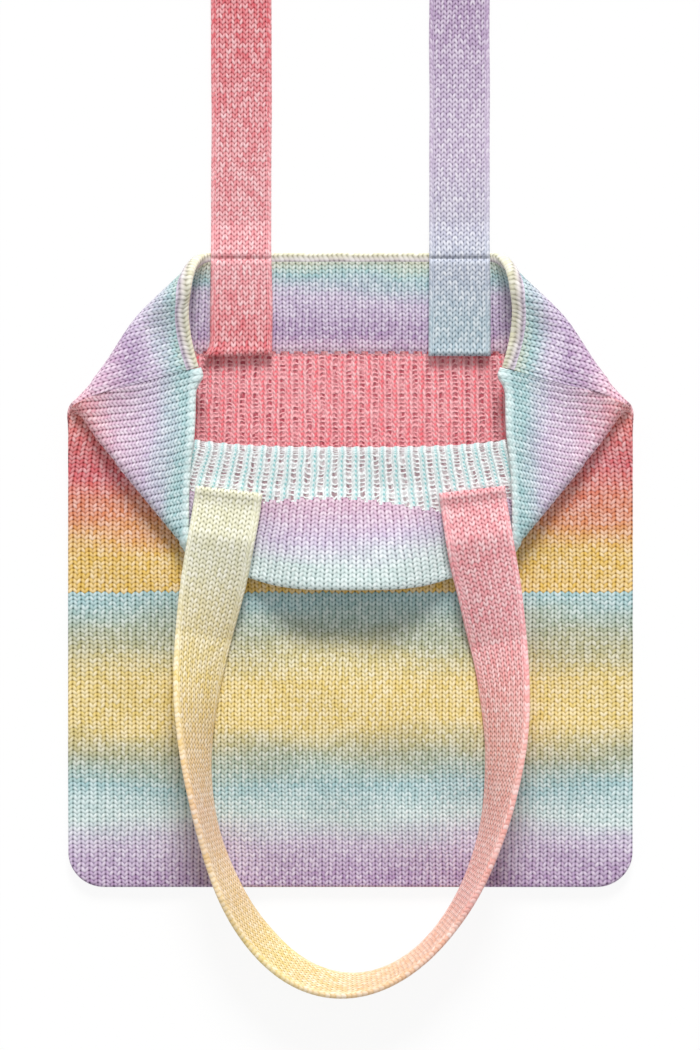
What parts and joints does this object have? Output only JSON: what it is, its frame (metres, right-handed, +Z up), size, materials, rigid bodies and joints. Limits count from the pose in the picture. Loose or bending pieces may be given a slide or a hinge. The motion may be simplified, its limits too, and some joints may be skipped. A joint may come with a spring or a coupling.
{
  "type": "knitted tote bag",
  "caption": "Flat knitted tote bag laid on its back, its hemmed mouth folded open at the front, with sewn-on strap handles.",
  "frame": {"origin": "centre of the bag body's footprint on the surface it lies on, on the underside of the back panel", "axes": "+Z up from the surface, +Y from the bag's bottom edge to its mouth, +X across the bag to the right as seen from above"},
  "size_m": [0.3834, 0.7871, 0.0545],
  "materials": {
    "front_panel_knit": "soft striped knit",
    "back_panel_knit": "soft striped knit",
    "front_handle_knit": "soft graded knit",
    "back_handle_knit": "soft graded knit"
  },
  "bodies": {
    "root": {"front_panel": "front_panel_knit", "back_panel": "back_panel_knit", "front_handle": "front_handle_knit", "back_handle": "back_handle_knit"}
  },
  "joints": []
}
